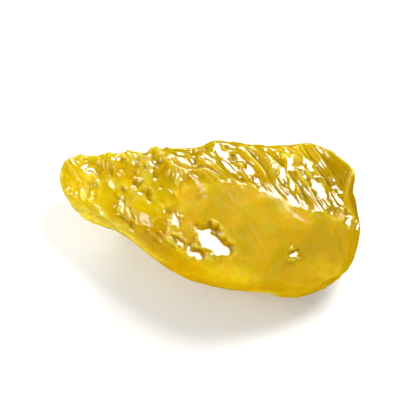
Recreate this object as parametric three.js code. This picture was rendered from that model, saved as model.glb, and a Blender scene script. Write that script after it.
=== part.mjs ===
// A rough piece of translucent yellow agate: one solid, as it broke from the lump.
//
// Millimetres, +Z up. +X runs from the narrow tip to the broad end, +Y towards the
// stepped back face, and the stone lies on its flat under-face at z = 0.
//
// The body is star-shaped about its middle. Broken faces bound it, shallow shell-shaped
// hollows are chipped out of it, and its edges are softened by wear.

import * as THREE from "three";
import { mergeVertices } from "three/addons/utils/BufferGeometryUtils.js";

const LENGTH = 16.0;
const WIDTH = 8.6;
const HEIGHT = 6.2;

const MESH_DETAIL = 18;
const EDGE_SHARPNESS = 19;
const HOLLOW_RIM = 0.6;
const BASE_RIM = 0.4;
const WAVE_HEIGHT = 0.07;
const BASE_DEPTH = 2.75;

// The broken faces. `turn` is the way a face looks, in degrees from +X towards +Y, `rise`
// is how far it looks up, and `reach` is its distance from the middle of the stone.
const FACES = [
  // Around the middle, from the broad end by way of the back to the tip and the front.
  { name: "end", turn: 0, rise: 0, reach: 8.55 },
  { name: "end_back", turn: 18, rise: 10, reach: 8.4 },
  { name: "end_back_corner", turn: 50, rise: 14, reach: 9.6 },
  { name: "back_end", turn: 95, rise: 14, reach: 5.1 },
  { name: "back_long", turn: 107, rise: 4, reach: 3.6 },
  { name: "tip_back", turn: 145, rise: 14, reach: 7.75 },
  { name: "tip", turn: 184, rise: 0, reach: 8.7 },
  { name: "tip_front", turn: 226, rise: -8, reach: 6.5 },
  { name: "front_long", turn: 248, rise: -6, reach: 4.5 },
  { name: "front_end", turn: 271, rise: -8, reach: 4.7 },
  { name: "front_corner", turn: 289, rise: -6, reach: 5.8 },
  { name: "end_front_corner", turn: 306, rise: -4, reach: 7.5 },
  { name: "end_front", turn: 334, rise: -10, reach: 8.75 },
  // The upper side.
  { name: "hackled_back", turn: 55, rise: 71, reach: 3.42 },
  { name: "crown", turn: 292, rise: 75, reach: 3.0 },
  { name: "front_lobe", turn: 312, rise: 48, reach: 4.7 },
  { name: "front_slope", turn: 246, rise: 34, reach: 4.35 },
  { name: "tip_slope", turn: 186, rise: 72, reach: 3.1 },
  { name: "end_slope", turn: 2, rise: 46, reach: 6.85 },
  { name: "back_tip_slope", turn: 108, rise: 62, reach: 3.0 },
  // The under side, around the flat that the stone rests on.
  { name: "under_back", turn: 82, rise: -33, reach: 3.9 },
  { name: "under_end", turn: 10, rise: -36, reach: 7.0 },
  { name: "under_front", turn: 258, rise: -30, reach: 3.95 },
  { name: "under_tip", turn: 188, rise: -60, reach: 4.55 },
  { name: "under_front_corner", turn: 316, rise: -40, reach: 6.1 },
];

// Shell-shaped hollows. `floor` is a point at the bottom of the dish, which opens towards
// `turn` and `rise`, and `radius` is how round it is.
const HOLLOWS = [
  { name: "end_notch", floor: [7.25, 1.9, 0.9], turn: 12, rise: 12, radius: 2.4 },
  { name: "front_waist", floor: [-3.6, -2.5, -1.0], turn: 245, rise: -14, radius: 5.5 },
  { name: "back_chip", floor: [1.6, 3.75, 1.0], turn: 90, rise: 20, radius: 6.0 },
  { name: "under_chip", floor: [2.0, -3.2, -1.9], turn: 278, rise: -28, radius: 6.5 },
  { name: "back_tip_chip", floor: [-3.6, 2.0, -1.4], turn: 112, rise: -22, radius: 6.0 },
];

const radians = THREE.MathUtils.degToRad;

function direction(turn, rise) {
  const level = Math.cos(radians(rise));
  return new THREE.Vector3(
    level * Math.cos(radians(turn)),
    level * Math.sin(radians(turn)),
    Math.sin(radians(rise)),
  );
}

const facePlanes = FACES.map(({ turn, rise, reach }) => ({ normal: direction(turn, rise), reach }));

const hollowSpheres = HOLLOWS.map(({ floor, turn, rise, radius }) => ({
  centre: new THREE.Vector3(...floor).addScaledVector(direction(turn, rise), radius),
  radius,
}));

// Distance from the middle to the broken faces along `ray`, rounded where faces meet.
function faceDistance(ray) {
  let sum = 0;
  for (const { normal, reach } of facePlanes) {
    const nearness = Math.max(0, normal.dot(ray) / reach);
    sum += nearness ** EDGE_SHARPNESS;
  }
  return sum ** (-1 / EDGE_SHARPNESS);
}

// Distance along `ray` to the near side of a hollow's sphere, or Infinity where it misses.
function hollowDistance(ray, { centre, radius }) {
  const along = ray.dot(centre);
  const inside = along * along - centre.lengthSq() + radius * radius;
  return along > 0 && inside > 0 ? along - Math.sqrt(inside) : Infinity;
}

// The lesser of two distances, with their meeting rounded over `rim` mm.
function softLesser(a, b, rim) {
  const overlap = Math.max(0, rim - Math.abs(a - b)) / rim;
  return Math.min(a, b) - (overlap * overlap * rim) / 4;
}

// Gentle long waves, so that no broken face is quite flat.
function wave({ x, y, z }) {
  return (
    Math.sin(1.1 * x + 0.7 * y + 0.4) +
    Math.sin(1.6 * y - 0.9 * z + 0.5 * x + 2.1) +
    Math.sin(1.3 * z + 0.8 * x - 1.2 * y + 4.0)
  );
}

function surfacePoint(ray) {
  let distance = faceDistance(ray);
  for (const sphere of hollowSpheres) {
    const dish = hollowDistance(ray, sphere);
    if (dish < Infinity) distance = softLesser(distance, dish, HOLLOW_RIM);
  }
  const point = ray.clone().multiplyScalar(distance);
  distance += (WAVE_HEIGHT / 3) * wave(point);
  if (ray.z < 0) distance = softLesser(distance, BASE_DEPTH / -ray.z, BASE_RIM);
  return point.copy(ray).multiplyScalar(distance);
}

// Stands the form on z = 0, centres it over the origin and brings it to its real size.
function placeAtRealSize(geometry) {
  geometry.computeBoundingBox();
  const { min, max } = geometry.boundingBox;
  geometry.translate(-(min.x + max.x) / 2, -(min.y + max.y) / 2, -min.z);
  geometry.scale(LENGTH / (max.x - min.x), WIDTH / (max.y - min.y), HEIGHT / (max.z - min.z));
}

function stoneGeometry() {
  const sphere = new THREE.IcosahedronGeometry(1, MESH_DETAIL);
  sphere.deleteAttribute("normal");
  sphere.deleteAttribute("uv");
  const geometry = mergeVertices(sphere);
  const position = geometry.attributes.position;
  const ray = new THREE.Vector3();
  for (let i = 0; i < position.count; i += 1) {
    ray.fromBufferAttribute(position, i);
    ray.set(ray.x * LENGTH, ray.y * WIDTH, ray.z * HEIGHT).normalize();
    const { x, y, z } = surfacePoint(ray);
    position.setXYZ(i, x, y, z);
  }
  placeAtRealSize(geometry);
  geometry.computeVertexNormals();
  return geometry;
}

function agateStone() {
  const material = new THREE.MeshStandardMaterial({
    color: 0xd6b520,
    roughness: 0.3,
    metalness: 0,
  });
  const mesh = new THREE.Mesh(stoneGeometry(), material);
  mesh.name = "agate_stone";
  return mesh;
}

const group = new THREE.Group();
group.add(agateStone());

export default group;
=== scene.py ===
import collections
import itertools
import math

import bpy
import numpy as np
from mathutils import Matrix, Vector, kdtree


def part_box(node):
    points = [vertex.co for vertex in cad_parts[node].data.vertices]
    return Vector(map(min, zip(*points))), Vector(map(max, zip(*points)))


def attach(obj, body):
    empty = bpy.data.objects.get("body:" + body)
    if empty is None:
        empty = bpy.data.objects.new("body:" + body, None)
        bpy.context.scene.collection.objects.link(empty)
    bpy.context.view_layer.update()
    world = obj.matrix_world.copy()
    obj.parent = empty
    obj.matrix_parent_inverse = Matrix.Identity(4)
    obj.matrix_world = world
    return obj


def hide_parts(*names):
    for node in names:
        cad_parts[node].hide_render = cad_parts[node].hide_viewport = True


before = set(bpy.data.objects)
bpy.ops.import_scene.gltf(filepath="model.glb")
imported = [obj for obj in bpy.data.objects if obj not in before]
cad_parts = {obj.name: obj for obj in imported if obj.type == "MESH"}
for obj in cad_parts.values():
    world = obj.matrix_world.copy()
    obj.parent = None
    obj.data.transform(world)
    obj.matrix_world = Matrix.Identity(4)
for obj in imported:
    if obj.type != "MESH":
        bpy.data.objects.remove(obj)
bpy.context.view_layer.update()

# One rough yellow agate stone on white paper. Shapes are worked out in millimetres, in the
# frame's own axes, and the finished mesh goes back to metres.
MM = 0.001
STONE = "agate_stone"
low, high = (np.array(corner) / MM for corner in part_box(STONE))
middle = (low + high) / 2
length = high[0] - low[0]


def direction(turn, rise):
    """A unit vector `turn` degrees from +X towards +Y, and `rise` degrees up."""
    level = math.cos(math.radians(rise))
    return np.array(
        [
            level * math.cos(math.radians(turn)),
            level * math.sin(math.radians(turn)),
            math.sin(math.radians(rise)),
        ]
    )


def unit(vector):
    return vector / np.linalg.norm(vector)


def smooth_step(value, start, end):
    t = np.clip((value - start) / (end - start), 0, 1)
    return t * t * (3 - 2 * t)


def dot(vectors, others):
    """The dot product of each row of `vectors` with the same row of `others`."""
    return np.einsum("ij,ij->i", vectors, others)


# The ways from the stone to the camera and to the lamps.
TO_CAMERA = direction(-78, 70)
TO_KEY = direction(54, 56)
TO_WINDOW = direction(112, 20)
TO_LEFT = direction(190, 30)
TO_FRONT = direction(240, 18)
TO_CEILING = direction(-49, 79)
TO_SIDE = direction(-40, 18)

# ---------------------------------------------------------------- noise

GRADIENTS = 256
NOISE_GAIN = 1.6  # brings the noise to about -1 to 1


def gradient_noise(points, seed):
    """Smooth noise, about -1 to 1, with lumps one unit apart."""
    rng = np.random.default_rng(seed)
    gradients = rng.normal(size=(GRADIENTS, 3))
    gradients /= np.linalg.norm(gradients, axis=1)[:, None]
    order = rng.permutation(GRADIENTS)
    cell = np.floor(points).astype(int)
    offset = points - cell
    fade = offset**3 * (offset * (offset * 6 - 15) + 10)
    total = np.zeros(len(points))
    for corner in itertools.product((0, 1), repeat=3):
        index = (cell + corner) % GRADIENTS
        pick = order[index[:, 0]]
        pick = order[(pick + index[:, 1]) % GRADIENTS]
        pick = order[(pick + index[:, 2]) % GRADIENTS]
        weight = np.prod(np.where(corner, fade, 1 - fade), axis=1)
        total += weight * dot(gradients[pick], offset - corner)
    return NOISE_GAIN * total


def layered_noise(points, seed, layers=3):
    return sum(gradient_noise(points * 2**k, seed + k) / 2**k for k in range(layers))


# ---------------------------------------------------------------- the fine skin

WELD_GAP = 0.001
SKIN_CELL = 0.062
MOST_TRIANGLES = 190_000  # of the finished stone


def with_modifiers(source, *modifiers):
    """What `source` becomes under some modifiers, each a kind and its settings."""
    holder = bpy.data.objects.new("holder", source)
    bpy.context.scene.collection.objects.link(holder)
    for kind, settings in modifiers:
        modifier = holder.modifiers.new(kind, kind)
        for name, value in settings.items():
            setattr(modifier, name, value)
    shown = holder.evaluated_get(bpy.context.evaluated_depsgraph_get())
    mesh = bpy.data.meshes.new_from_object(shown)
    bpy.data.objects.remove(holder)
    bpy.data.meshes.remove(source)
    return mesh


def fine_skin():
    """An even, fine-celled copy of the CAD stone's surface, in millimetres."""
    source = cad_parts[STONE].data.copy()
    source.transform(Matrix.Scale(1 / MM, 4))
    weld = ("WELD", {"merge_threshold": WELD_GAP})
    remesh = ("REMESH", {"mode": "VOXEL", "voxel_size": SKIN_CELL})
    return with_modifiers(source, weld, remesh)


def thinned(mesh):
    """The mesh with fewer, larger faces where it is flattest, such as on its base."""
    mesh.calc_loop_triangles()
    share = MOST_TRIANGLES / len(mesh.loop_triangles)
    return with_modifiers(mesh, ("DECIMATE", {"ratio": share}))


def read_points(mesh):
    flat = np.zeros(len(mesh.vertices) * 3)
    mesh.vertices.foreach_get("co", flat)
    return flat.reshape(-1, 3)


def read_edges(mesh):
    flat = np.zeros(len(mesh.edges) * 2, int)
    mesh.edges.foreach_get("vertices", flat)
    return flat.reshape(-1, 2)


def normals_of(mesh, points):
    """The surface's outward directions once its vertices are at `points`."""
    mesh.vertices.foreach_set("co", points.ravel())
    mesh.update()
    flat = np.zeros(len(points) * 3)
    mesh.vertex_normals.foreach_get("vector", flat)
    return flat.reshape(-1, 3)


def relaxed(values, edges, steps):
    """Values drawn towards the mean of their neighbours, `steps` times over."""
    here, there = edges.T
    size = len(values)
    degree = np.bincount(here, minlength=size) + np.bincount(there, minlength=size)
    columns = values.reshape(size, -1).T.copy()
    for _ in range(steps):
        for k, column in enumerate(columns):
            near = np.bincount(here, column[there], size) + np.bincount(there, column[here], size)
            columns[k] = 0.5 * column + 0.5 * near / degree
    return columns.T.reshape(values.shape)


# ---------------------------------------------------------------- the grain

# The hackles are fine steps in the broken back face. Seen from the camera they run from its
# upper left down to the right, and the same grain shows, weaker, all over the stone.
GRAIN = direction(-41, 8)
BACK_FACE = direction(80, 57)
ACROSS_GRAIN = unit(np.cross(BACK_FACE, GRAIN))
TOOTH_SLOPE = 0.8  # the share of a step that rises gently before it drops


def along_grain(points, share):
    """The points drawn together along the grain, so that noise read there is streaky."""
    return points - share * (points @ GRAIN)[:, None] * GRAIN


def hackles(points, spacing, seed):
    """Saw-tooth steps, 0 to 1, that run with the grain and fork and fade here and there."""
    squeezed = along_grain(points, 0.75)
    phase = points @ ACROSS_GRAIN / spacing
    phase += 0.9 * gradient_noise(squeezed / (2.2 * spacing), seed)
    phase += 0.1 * gradient_noise(points / spacing, seed + 1)
    rise = phase - np.floor(phase)
    tooth = np.minimum(rise / TOOTH_SLOPE, (1 - rise) / (1 - TOOTH_SLOPE))
    strength = smooth_step(gradient_noise(squeezed / (1.1 * spacing), seed + 2), -0.35, 0.3)
    return tooth * (0.25 + 0.75 * strength)


# ---------------------------------------------------------------- the kinds of surface

# The stone is smoother and a deeper amber towards this corner of its box.
DEEP_CORNER = low + (high - low) * np.array([1.0, 0.9, 0.6])


def from_deep_corner(points):
    return np.linalg.norm(points - DEEP_CORNER, axis=1)


def zones(points, facing):
    """How much of each kind of surface there is at each point, 0 to 1."""
    wobble = layered_noise(points / 2.2, seed=71)
    streaks = layered_noise(along_grain(points, 0.8) / 0.5, seed=75)
    along = (points[:, 0] - low[0]) / length
    upward = facing[:, 2]

    back = smooth_step(facing @ BACK_FACE + 0.04 * wobble + 0.05 * streaks, 0.77, 0.87)
    narrow_half = 1 - smooth_step(along + 0.06 * wobble + 0.05 * streaks, 0.36, 0.48)
    narrow_half *= smooth_step(upward + 0.1 * wobble, 0.0, 0.4)
    side = smooth_step(wobble, 0.1, 0.5) * smooth_step(-upward, -0.3, 0.1)
    rough = np.maximum(narrow_half, 0.8 * side)
    under = smooth_step(-upward + 0.1 * wobble, 0.2, 0.6)
    return {
        "back": back,
        "rough": rough,
        "under": under,
        "frosted": np.clip(1 - back - rough - under, 0, 1),
        "point": 1 - smooth_step(along, 0.05, 0.25),
        "broad": smooth_step(along, 0.15, 0.45),
        # Painted glow: pale on the steep faces of the narrow half, where light would shine through
        # the thin edge.
        "rim": (1 - smooth_step(along, 0.2, 0.45)) * (1 - smooth_step(upward, 0.3, 0.85)),
        "calm": 1 - smooth_step(from_deep_corner(points) + 0.3 * wobble, 1.8, 3.2),
    }


# ---------------------------------------------------------------- bowls and patches

SMOOTHING_STEPS = 14  # take away the CAD's facets and the skin's cells
ROUNDING_STEPS = 120  # round the edges too, for the worn form
WEAR = 0.8  # how far the frosted faces have gone towards the worn form
BOWL_STRETCH = 1.6  # how much longer a bowl is along the grain
BOWL_FADE = (1.2, 1.8)  # where a bowl fades out, in half-widths from its middle

# A patch is a group of parallel flat breaks. `turn` and `rise` are the way to it from the
# middle of the stone, and `long` and `wide` its reach along and across the grain. `facing`
# is the way its flats face, `step` their spacing, and `raggedness` is in steps.
Patch = collections.namedtuple("Patch", "turn rise long wide facing step raggedness", defaults=[0.5])

# Flats face half-way between the camera and a lamp, so those of one patch flash together.
KEY_FLAT = unit(TO_CAMERA + TO_KEY)
WINDOW_FLAT = unit(TO_CAMERA + TO_WINDOW)
LEVEL_HEIGHT = 0.48  # how far up its step a flat lies
HIGHEST_CRUMB = 0.17  # the most that a break stands proud

PATCHES = [
    # The largest flash, on the front of the worn face, and the small ones that trail off it.
    Patch(-72.5, 41, 1.25, 0.9, KEY_FLAT, 1.2, 0.2),
    Patch(-84, 42, 0.6, 0.4, KEY_FLAT, 0.14),
    Patch(-90, 33, 0.5, 0.4, KEY_FLAT, 0.4, 0.3),
    Patch(-109, 36, 0.6, 0.4, KEY_FLAT, 0.36, 0.3),
    Patch(-128, 29, 0.5, 0.38, KEY_FLAT, 0.4, 0.3),
    Patch(-125, 48, 0.45, 0.36, KEY_FLAT, 0.24, 0.3),
    # On the narrow end.
    Patch(-160, 20, 0.8, 0.4, KEY_FLAT, 0.3, 0.3),
    Patch(-172, 8, 0.6, 0.38, KEY_FLAT, 0.3, 0.3),
    Patch(169, 12, 0.6, 0.4, KEY_FLAT, 0.24, 0.3),
    Patch(161, 26, 0.6, 0.4, KEY_FLAT, 0.24, 0.3),
    Patch(162, 50, 0.7, 0.35, KEY_FLAT, 0.14),
    # Alone on the worn face, near the broad end.
    Patch(-24, 16, 0.5, 0.36, KEY_FLAT, 0.4, 0.1),
    # Among the hackles.
    Patch(31, 22, 1.1, 0.75, KEY_FLAT, 0.45, 0.25),
    Patch(14, 20, 0.8, 0.45, KEY_FLAT, 0.3),
    Patch(39, 50, 1.2, 0.35, WINDOW_FLAT, 0.2),
    Patch(25, 31, 1.4, 0.28, KEY_FLAT, 0.14),
    Patch(84, 38, 0.8, 0.45, WINDOW_FLAT, 0.3),
    Patch(15, 15, 0.4, 0.3, KEY_FLAT, 0.2),
    # Down the broad end.
    Patch(3, 18, 0.4, 0.2, KEY_FLAT, 0.16),
    Patch(2, 12, 0.6, 0.4, KEY_FLAT, 0.5, 0.3),
    Patch(2, 6, 0.5, 0.32, KEY_FLAT, 0.5, 0.3),
]


def terraces(offset, patch, seed):
    """How far each point moves along the patch's facing to lie on its ragged terraces.

    `offset` is measured from a point half-way up the first terrace's step.
    """
    height = offset @ patch.facing / patch.step + 0.5
    squeezed = along_grain(offset, 0.6)
    ragged = height + patch.raggedness * layered_noise(squeezed / 0.6, seed, 2)
    level = np.floor(ragged)
    level += smooth_step(ragged - level, 0.8, 1.0)
    return (level + LEVEL_HEIGHT - height) * patch.step


def bowl_push(offset, outward, axis, half_width, depth):
    """How far points sink, against `outward`, to lie on a bowl that opens along `axis`.

    No point sinks by more than twice the bowl's depth.
    """
    radius = half_width**2 / (2 * depth)
    from_centre = offset - (radius - depth) * axis
    along = dot(from_centre, outward)
    inside = radius**2 - np.sum(from_centre**2, axis=1)
    inside[along > 0] = 0
    push = np.where(inside > 0, along + np.sqrt(np.maximum(along**2 + inside, 0)), 0)
    return np.minimum(push, 2 * depth)


class Skin:
    """The stone's surface while it is being carved."""

    def __init__(self, mesh):
        self.edges = read_edges(mesh)
        self.points = relaxed(read_points(mesh), self.edges, SMOOTHING_STEPS)
        self.on_base = self.points[:, 2] < low[2] + 0.5 * SKIN_CELL
        rounded = relaxed(self.points, self.edges, ROUNDING_STEPS)
        self.facing = normals_of(mesh, rounded)
        self.zone = zones(self.points, self.facing)
        worn = self.zone["frosted"] * ~self.on_base
        self.points += (WEAR * worn)[:, None] * (rounded - self.points)
        self.uncarved = self.points.copy()
        self.broken = np.zeros(len(self.points))
        self.tree = kdtree.KDTree(len(self.points))
        for i, point in enumerate(self.points):
            self.tree.insert(point, i)
        self.tree.balance()

    def near(self, i, reach):
        return np.array([hit[1] for hit in self.tree.find_range(self.uncarved[i], reach)])

    def seen_along(self, turn, rise):
        """The number of the point seen from the middle of the stone along a direction."""
        ray = direction(turn, rise)
        offset = self.uncarved - middle
        along = offset @ ray
        aside = np.linalg.norm(offset - along[:, None] * ray, axis=1)
        return np.argmin(np.where(along > 0, aside, np.inf))

    def away_from_ends(self):
        """Where large bowls may go: on the far sides, clear of the base and the stone's ends."""
        share = smooth_step(-self.facing @ TO_CAMERA, 0.2, 0.5)
        share *= smooth_step(self.points[:, 2] - low[2], 1.2, 2.2)
        for axis, pick in itertools.product((0, 1), (np.argmin, np.argmax)):
            end = self.points[pick(self.points[:, axis])]
            share *= smooth_step(np.linalg.norm(self.points - end, axis=1), 1.5, 3)
        return share

    def lift(self, heights):
        self.points += self.facing * heights[:, None]

    def carve_bowl(self, i, axis, half_width, depth):
        """Carves a shallow bowl, longer along the grain, about one point, straight inwards."""
        near = self.near(i, BOWL_FADE[1] * BOWL_STRETCH * half_width + 0.3)
        long_way = unit(GRAIN - (GRAIN @ axis) * axis)
        offset = self.points[near] - self.points[i]
        offset -= (1 - 1 / BOWL_STRETCH) * (offset @ long_way)[:, None] * long_way
        start, end = (share * half_width for share in BOWL_FADE)
        fade = 1 - smooth_step(np.linalg.norm(offset, axis=1), start, end)
        outward = self.facing[near]
        push = bowl_push(offset, outward, axis, half_width, depth)
        self.points[near] -= (push * fade)[:, None] * outward

    def carve_bowls(self, share, count, widths, depths, lean, seed):
        """Carves `count` bowls at random, most of them small, thicker where `share` is high.

        Bowls are shallower on the worn faces and on the thin tip.
        """
        rng = np.random.default_rng(seed)
        places = rng.choice(len(self.points), count, replace=False, p=share / share.sum())
        for i in places:
            size = rng.random() ** 2
            half_width = widths[0] + (widths[1] - widths[0]) * size
            depth = depths[0] + (depths[1] - depths[0]) * size
            depth *= (1 - 0.65 * self.zone["frosted"][i]) * (1 - 0.6 * self.zone["point"][i])
            axis = unit(self.facing[i] + math.tan(math.radians(lean)) * rng.normal(size=3))
            self.carve_bowl(i, axis, half_width, depth)

    def break_patch(self, patch, seed):
        """Breaks the surface into the terraces of one patch."""
        centre = self.seen_along(patch.turn, patch.rise)
        near = self.near(centre, 1.3 * patch.long)
        offset = self.uncarved[near] - self.uncarved[centre]
        along = offset @ GRAIN
        aside = np.linalg.norm(offset - along[:, None] * GRAIN, axis=1)
        reach = np.hypot(along / patch.long, aside / patch.wide)
        reach += 0.45 * layered_noise(offset / (0.8 * patch.wide), seed, 2)
        share = 1 - smooth_step(reach, 0.65, 1.15)
        self.broken[near] = np.maximum(self.broken[near], share)
        move = terraces(self.points[near] - self.points[centre], patch, seed + 1)
        move = np.minimum(move, HIGHEST_CRUMB)
        self.points[near] += (share * move)[:, None] * patch.facing

    def flatten_base(self):
        self.points[:, 2] = np.maximum(self.points[:, 2], low[2])
        self.points[self.on_base, 2] = low[2]

    def fit_to_box(self):
        """Brings the carved form back to the stone's full size."""
        least, most = self.points.min(axis=0), self.points.max(axis=0)
        self.points = low + (self.points - least) * (high - low) / (most - least)


# ---------------------------------------------------------------- the stone

# Heights of the steps in the back face, of the grain elsewhere, and of the frosted face's ripple.
COARSE_HACKLE = 0.19
FINE_HACKLE = 0.05
FAINT_GRAIN = 0.06
FROST_RIPPLE = 0.025


def carve_hackles(skin):
    """Steps the back face, less near its edges and least at the calm corner.

    The rough faces get a faint grain, and the frosted ones a fainter one.
    """
    zone = skin.zone
    steps = COARSE_HACKLE * hackles(skin.points, spacing=0.72, seed=21)
    steps += FINE_HACKLE * hackles(skin.points, spacing=0.31, seed=31)
    inside_back = smooth_step(skin.facing @ BACK_FACE, 0.8, 0.93)
    rugged = zone["back"] * (0.3 + 0.7 * inside_back) * (1 - 0.85 * zone["calm"])
    skin.lift(rugged * (steps - (COARSE_HACKLE + FINE_HACKLE) / 2))
    grain = FAINT_GRAIN * hackles(skin.points, spacing=0.5, seed=41)
    skin.lift((zone["rough"] + 0.25 * zone["frosted"]) * (grain - FAINT_GRAIN / 2))


def break_surface(skin):
    """Every break in the stone, from the wide shallow bowls to the small flats."""
    zone = skin.zone
    everywhere = np.ones(len(skin.points))
    skin.carve_bowls(everywhere, 70, widths=(0.7, 1.8), depths=(0.03, 0.12), lean=6, seed=11)
    skin.carve_bowls(
        skin.away_from_ends(), 40, widths=(0.6, 1.4), depths=(0.06, 0.2), lean=8, seed=15
    )
    carve_hackles(skin)
    chipped = np.clip(zone["rough"] + zone["under"] + 0.01, 0, 1)
    skin.carve_bowls(chipped, 240, widths=(0.25, 0.8), depths=(0.03, 0.11), lean=12, seed=51)
    skin.carve_bowls(chipped, 300, widths=(0.12, 0.3), depths=(0.015, 0.05), lean=12, seed=52)
    ripple = layered_noise(along_grain(skin.points, 0.5) / 0.7, seed=61)
    skin.lift(FROST_RIPPLE * zone["frosted"] * ripple)
    for seed, patch in enumerate(PATCHES, start=80):
        skin.break_patch(patch, 3 * seed)
    skin.flatten_base()
    skin.fit_to_box()


def facts_for_material(skin):
    """What the material needs to know of each point: `crest` in millimetres, the rest 0 to 1."""
    zone = skin.zone
    smoothed = relaxed(skin.points, skin.edges, 30)
    glossy = relaxed(np.clip(zone["back"] + 0.8 * zone["rough"], 0, 1), skin.edges, 50)
    broken = relaxed(skin.broken, skin.edges, 10)
    gap = from_deep_corner(skin.points) + 0.6 * layered_noise(skin.points / 1.5, seed=91)
    upward = skin.facing[:, 2] + 0.15 * layered_noise(skin.points / 1.2, seed=95)
    # Painted shade: faces turned away from the top get a deeper amber on the broad half.
    side = 1 - smooth_step(upward, 0.35, 0.9)
    patchy = smooth_step(layered_noise(along_grain(skin.points, 0.5) / 1.1, seed=97), 0.15, 0.6)
    return {
        "crest": dot(skin.points - smoothed, skin.facing),
        "fresh": np.maximum(glossy, broken),
        "deep": 1 - smooth_step(gap, 1.0, 4.5),
        "amber_patches_and_side_shade": np.maximum(0.9 * side, 0.6 * patchy) * zone["broad"],
        "point": zone["point"],
        "rim": zone["rim"],
        # How strongly the painted shade in the hollows applies: less on the tip and on the flat
        # breaks.
        "body": (1 - 0.7 * zone["point"]) * (1 - 0.7 * broken),
    }


def make_stone():
    mesh = fine_skin()
    skin = Skin(mesh)
    break_surface(skin)
    mesh.vertices.foreach_set("co", skin.points.ravel())
    for name, values in facts_for_material(skin).items():
        attribute = mesh.attributes.new(name, "FLOAT", "POINT")
        attribute.data.foreach_set("value", values.astype(np.float32))
    mesh = thinned(mesh)
    mesh.transform(Matrix.Scale(MM, 4))
    mesh.polygons.foreach_set("use_smooth", np.ones(len(mesh.polygons), bool))
    mesh.update()
    mesh.name = "rough_agate"
    mesh.materials.clear()
    stone = bpy.data.objects.new("rough_agate", mesh)
    bpy.context.scene.collection.objects.link(stone)
    return stone


# ---------------------------------------------------------------- the agate

BROWN = (0.36, 0.22, 0.0, 1.0)
AMBER = (0.65, 0.39, 0.001, 1.0)
ORANGE = (0.72, 0.42, 0.001, 1.0)
GOLD = (0.53, 0.395, 0.003, 1.0)
LEMON = (0.80, 0.64, 0.006, 1.0)
PALE = (0.90, 0.76, 0.12, 1.0)
CLEAR_YELLOW = (0.98, 0.88, 0.1, 1.0)

CHALCEDONY_IOR = 1.54
ABSORPTION = 150.0
SCATTER_DEPTH = 2 * MM
BUMP_DEPTH = 0.05 * MM
FROSTED_ROUGHNESS = 0.36
FRESH_ROUGHNESS = 0.12


class Nodes:
    """Adds nodes to a material's tree and links them by a socket's name or number."""

    def __init__(self, material):
        material.use_nodes = True
        self.tree = material.node_tree
        self.tree.nodes.clear()

    def add(self, kind, settings=None, **inputs):
        node = self.tree.nodes.new(kind)
        for name, value in (settings or {}).items():
            setattr(node, name, value)
        for name, value in inputs.items():
            self.put(node, name.replace("_", " "), value)
        return node

    def put(self, node, name, value):
        socket = node.inputs[int(name)] if name.isdigit() else node.inputs[name]
        if isinstance(value, bpy.types.NodeSocket):
            self.tree.links.new(value, socket)
        else:
            socket.default_value = value

    def noise(self, place, scale, detail=2, roughness=0.5):
        made = self.add("ShaderNodeTexNoise", Vector=place, Scale=scale, Detail=detail)
        self.put(made, "Roughness", roughness)
        return made.outputs["Fac"]

    def ramp(self, value, start, end, low_value=0.0, high_value=1.0):
        made = self.add("ShaderNodeMapRange", {"interpolation_type": "SMOOTHSTEP"}, Value=value)
        for name, number in (
            ("From Min", start),
            ("From Max", end),
            ("To Min", low_value),
            ("To Max", high_value),
        ):
            self.put(made, name, number)
        return made.outputs["Result"]

    def mix(self, share, first, second):
        made = self.add("ShaderNodeMix", {"data_type": "RGBA"})
        self.put(made, "0", share)
        self.put(made, "6", first)
        self.put(made, "7", second)
        return made.outputs[2]

    def multiply(self, first, second):
        made = self.add("ShaderNodeMath", {"operation": "MULTIPLY"})
        self.put(made, "0", first)
        self.put(made, "1", second)
        return made.outputs[0]

    def attribute(self, name):
        return self.add("ShaderNodeAttribute", {"attribute_name": name}).outputs["Fac"]

    def output(self, **shaders):
        made = self.add("ShaderNodeOutputMaterial")
        for name, shader in shaders.items():
            self.tree.links.new(shader.outputs[0], made.inputs[name])


def agate_colour(nodes, place):
    """Clouds of gold and lemon under thin layers of the stone's other shades, with painted shade in
    the hollows and on the steep sides, pale ridges that are partly wear and partly a painted glow,
    and a painted glow along the thin rim.
    """
    crest = nodes.attribute("crest")
    fresh = nodes.attribute("fresh")
    cloud = nodes.ramp(nodes.noise(place, 260, 3), 0.38, 0.64)
    mottle = nodes.ramp(nodes.noise(place, 1100), 0.42, 0.68)
    fleck = nodes.ramp(nodes.noise(place, 2600), 0.45, 0.68)
    milk = nodes.multiply(nodes.ramp(nodes.noise(place, 1500), 0.54, 0.68), fresh)
    # Painted shade: brown darkens the hollows of the carved surface, less on the tip and on the flat
    # breaks.
    painted_valley_shade = nodes.multiply(nodes.ramp(crest, -0.005, -0.05), nodes.attribute("body"))
    colour = nodes.mix(cloud, GOLD, LEMON)
    for share, strength, shade in (
        (fresh, 0.3, LEMON),
        (mottle, 0.6, ORANGE),
        (fleck, 0.4, AMBER),
        (milk, 0.5, PALE),
        # Deeper amber: painted shade on the steep sides of the broad half, and random amber patches.
        (nodes.attribute("amber_patches_and_side_shade"), 0.75, AMBER),
        (nodes.attribute("deep"), 0.75, BROWN),
        (nodes.attribute("point"), 0.15, LEMON),
        (painted_valley_shade, 0.85, BROWN),
        # Pale on the ridges: partly wear, partly a painted glow where light would catch the edges.
        (nodes.ramp(crest, 0.01, 0.06), 0.6, PALE),
        # Painted glow along the thin edge of the narrow half.
        (nodes.attribute("rim"), 0.5, PALE),
    ):
        colour = nodes.mix(nodes.multiply(share, strength), colour, shade)
    return colour


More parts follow.
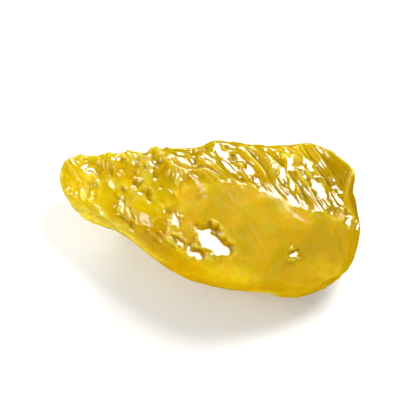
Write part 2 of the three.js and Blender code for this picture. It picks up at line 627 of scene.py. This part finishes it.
def agate_material():
    """Cloudy yellow chalcedony: glossy and clearer where it is fresh, frosted where worn."""
    material = bpy.data.materials.new("rough_yellow_agate")
    nodes = Nodes(material)
    place = nodes.add("ShaderNodeTexCoord").outputs["Object"]
    fresh = nodes.attribute("fresh")
    wear = nodes.ramp(nodes.noise(place, 1100, 4, 0.6), 0.35, 0.65, 0.85, 1.1)
    gloss = nodes.ramp(fresh, 0.1, 0.7, FROSTED_ROUGHNESS, FRESH_ROUGHNESS)
    grain = nodes.noise(place, 4000, 3)
    bump = nodes.add("ShaderNodeBump", Strength=0.15, Distance=BUMP_DEPTH, Height=grain)

    shader = nodes.add("ShaderNodeBsdfPrincipled")
    for name, value in {
        "Base Color": agate_colour(nodes, place),
        "Roughness": nodes.multiply(gloss, wear),
        "Normal": bump.outputs["Normal"],
        "IOR": CHALCEDONY_IOR,
        "Transmission Weight": nodes.ramp(fresh, 0.1, 0.9, 0.35, 0.6),
        "Subsurface Weight": 1.0,
        "Subsurface Radius": (1.0, 0.9, 0.1),
        "Subsurface Scale": SCATTER_DEPTH,
    }.items():
        nodes.put(shader, name, value)
    absorption = nodes.add("ShaderNodeVolumeAbsorption", Color=CLEAR_YELLOW, Density=ABSORPTION)
    nodes.output(Surface=shader, Volume=absorption)
    return material


# ---------------------------------------------------------------- the studio

# The lens and the sensor are in millimetres. PAPER_REACH and each lamp's distance and size are
# in stone lengths.
LENS = 180
SENSOR = 36
STONE_SHARE = 0.74
PAPER_REACH = 30
PAPER_GREY = (0.74, 0.74, 0.74, 1.0)
PAPER_GAP = 0.02 * MM
WHITE = (1.0, 1.0, 1.0, 1.0)


def paper_material():
    material = bpy.data.materials.new("paper")
    nodes = Nodes(material)
    nodes.output(Surface=nodes.add("ShaderNodeBsdfPrincipled", Base_Color=PAPER_GREY, Roughness=0.9))
    return material


def make_paper():
    """White paper that the stone lies on, a hair below it so that no faces coincide."""
    half = PAPER_REACH * length * MM
    z = -PAPER_GAP
    mesh = bpy.data.meshes.new("paper")
    corners = [(-half, -half, z), (half, -half, z), (half, half, z), (-half, half, z)]
    mesh.from_pydata(corners, [], [(0, 1, 2, 3)])
    mesh.materials.append(paper_material())
    paper = bpy.data.objects.new("paper", mesh)
    bpy.context.scene.collection.objects.link(paper)
    paper.visible_glossy = False


def make_lamp(name, towards, distance, size, radiance, reflected=True):
    """A square lamp on the side `towards`, which faces the stone."""
    side = size * length * MM
    lamp = bpy.data.lights.new(name, "AREA")
    lamp.shape = "SQUARE"
    lamp.size = side
    lamp.energy = radiance * math.pi * side * side
    holder = bpy.data.objects.new(name, lamp)
    holder.location = Vector(middle * MM) + Vector(towards) * distance * length * MM
    holder.rotation_mode = "QUATERNION"
    holder.rotation_quaternion = Vector(towards).to_track_quat("Z", "Y")
    holder.visible_glossy = reflected
    holder.visible_transmission = reflected
    bpy.context.scene.collection.objects.link(holder)


def make_world():
    """Soft light from all around, which leaves the mirror-like reflections to the lamps."""
    world = bpy.data.worlds.new("studio")
    world.use_nodes = True
    background = world.node_tree.nodes["Background"]
    background.inputs["Color"].default_value = WHITE
    background.inputs["Strength"].default_value = 0.6
    world.cycles_visibility.glossy = False
    bpy.context.scene.world = world


def make_camera():
    """Looks steeply down at the stone, which fills STONE_SHARE of the picture's width."""
    data = bpy.data.cameras.new("camera")
    data.lens = LENS
    data.sensor_width = SENSOR
    distance = length * MM / STONE_SHARE * LENS / SENSOR
    data.clip_start = distance / 100
    data.clip_end = distance * 100
    camera = bpy.data.objects.new("camera", data)
    camera.location = Vector(middle * MM) + Vector(TO_CAMERA) * distance
    camera.rotation_mode = "QUATERNION"
    camera.rotation_quaternion = Vector(TO_CAMERA).to_track_quat("Z", "Y")
    bpy.context.scene.collection.objects.link(camera)
    bpy.context.scene.camera = camera


make_camera()
make_world()
make_paper()
make_lamp("key", TO_KEY, distance=7, size=2.6, radiance=23)
make_lamp("window", TO_WINDOW, distance=7, size=2.2, radiance=25)
make_lamp("left", TO_LEFT, distance=7, size=2.2, radiance=11)
make_lamp("front", TO_FRONT, distance=7, size=3.4, radiance=8, reflected=False)
make_lamp("ceiling", TO_CEILING, distance=8, size=4, radiance=0.15)
make_lamp("side", TO_SIDE, distance=7, size=3, radiance=0.5)

stone = make_stone()
stone.data.materials.append(agate_material())
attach(stone, "root")
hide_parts(STONE)

bpy.context.scene.view_settings.view_transform = "Standard"
